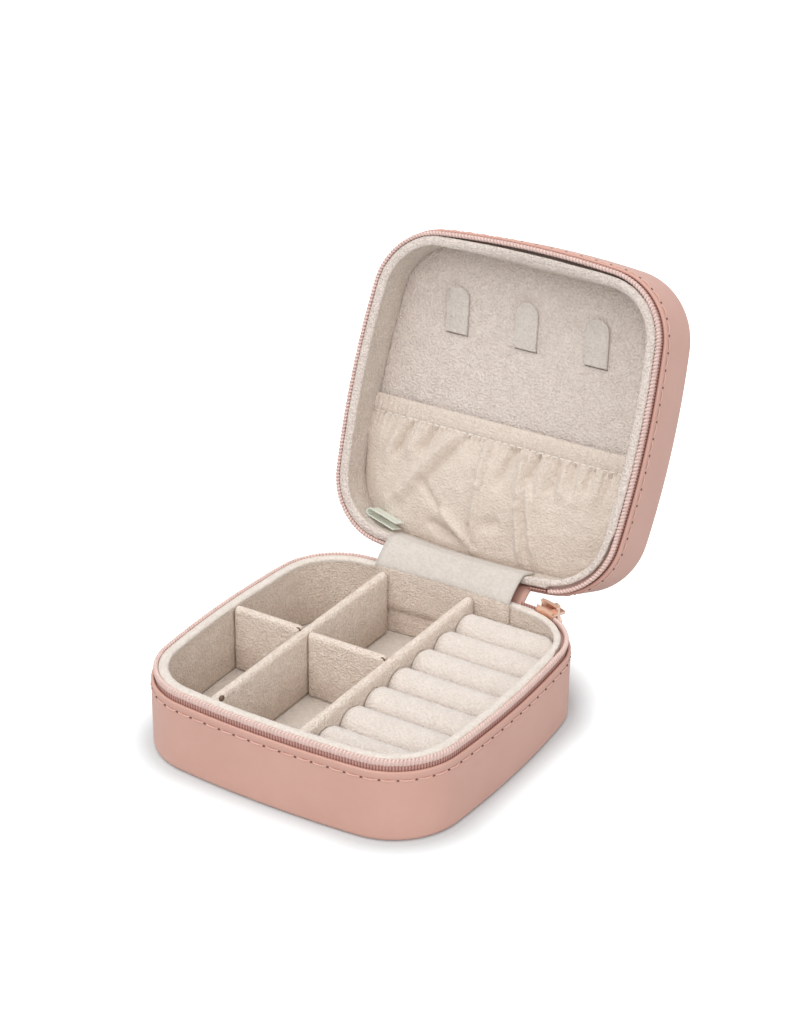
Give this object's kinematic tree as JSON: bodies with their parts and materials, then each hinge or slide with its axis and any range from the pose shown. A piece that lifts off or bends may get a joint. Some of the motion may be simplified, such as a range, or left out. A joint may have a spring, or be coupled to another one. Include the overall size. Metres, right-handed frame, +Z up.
{
  "type": "jewelry box",
  "caption": "Small zip-up travel jewelry box, hinged lid standing open, with dividers and ring rolls in the base, necklace hooks and a gathered pocket in the lid.",
  "frame": {"origin": "middle of the underside, on the surface it stands on", "axes": "+Z up, front towards -Y, hinge along X at the back"},
  "size_m": [0.1, 0.1574, 0.1181],
  "materials": {
    "leather": "soft grained artificial leather",
    "zip_tape": "woven tape",
    "zip_coil": "nylon coil",
    "frame_board": "moulded tray",
    "suede": "beige suede cloth",
    "velvet_roll": "cream velvet over foam",
    "foam": "foam sheet",
    "pocket_cloth": "gathered stretch cloth",
    "elastic": "flat elastic",
    "clear_film": "clear film",
    "rose_metal": "rose gold plating"
  },
  "bodies": {
    "base": {"base_leather_band": "leather", "base_bottom_panel": "leather", "base_frame": "frame_board", "base_zipper_tape": "zip_tape", "base_zipper_coil": "zip_coil", "base_lining_wall": "suede", "base_floor_pad": "suede", "divider_long_left": "suede", "divider_long_right": "suede", "divider_cross_left": "suede", "divider_cross_right": "suede", "ring_roll_base": "foam", "ring_roll_1": "velvet_roll", "ring_roll_2": "velvet_roll", "ring_roll_3": "velvet_roll", "ring_roll_4": "velvet_roll", "ring_roll_5": "velvet_roll", "ring_roll_6": "velvet_roll", "ring_roll_7": "velvet_roll", "hinge_spine_leather": "leather", "hinge_lining_strip": "suede"},
    "lid": {"lid_leather_band": "leather", "lid_top_panel": "leather", "lid_top_padding": "foam", "lid_frame": "frame_board", "lid_zipper_tape": "zip_tape", "lid_zipper_coil": "zip_coil", "lid_lining_wall": "suede", "lid_inner_panel": "suede", "pocket_fabric": "pocket_cloth", "pocket_elastic": "elastic", "film_tab": "clear_film"},
    "slider": {"zipper_slider": "rose_metal"},
    "pull": {"zipper_pull": "rose_metal"},
    "hook_1": {"necklace_hook_1": "suede"},
    "hook_2": {"necklace_hook_2": "suede"},
    "hook_3": {"necklace_hook_3": "suede"}
  },
  "joints": [
    {"name": "lid_hinge", "type": "hinge", "parent": "base", "child": "lid", "pos_m": [0, 0.0505, 0.0252], "axis": [1, 0, 0], "range_deg": [0, 111], "deforming": ["hinge_spine_leather", "hinge_lining_strip"]},
    {"name": "slider_travel", "type": "hinge", "parent": "base", "child": "slider", "pos_m": [0.02722, 0.02722, 0.0252], "axis": [0, 0, -1], "range_deg": [0, 52]},
    {"name": "pull_swing", "type": "hinge", "parent": "slider", "child": "pull", "pos_m": [0.03451, 0.04967, 0.0252], "axis": [0.9511, -0.309, 0], "range_deg": [-5, 60]},
    {"name": "hook_1_flex", "type": "hinge", "parent": "lid", "child": "hook_1", "pos_m": [-0.0238, 0.08819, 0.08475], "axis": [1, 0, 0], "range_deg": [0, 35], "stiffness_Nm_per_rad": 0.002},
    {"name": "hook_2_flex", "type": "hinge", "parent": "lid", "child": "hook_2", "pos_m": [0, 0.08819, 0.08475], "axis": [1, 0, 0], "range_deg": [0, 35], "stiffness_Nm_per_rad": 0.002},
    {"name": "hook_3_flex", "type": "hinge", "parent": "lid", "child": "hook_3", "pos_m": [0.0238, 0.08819, 0.08475], "axis": [1, 0, 0], "range_deg": [0, 35], "stiffness_Nm_per_rad": 0.002}
  ]
}
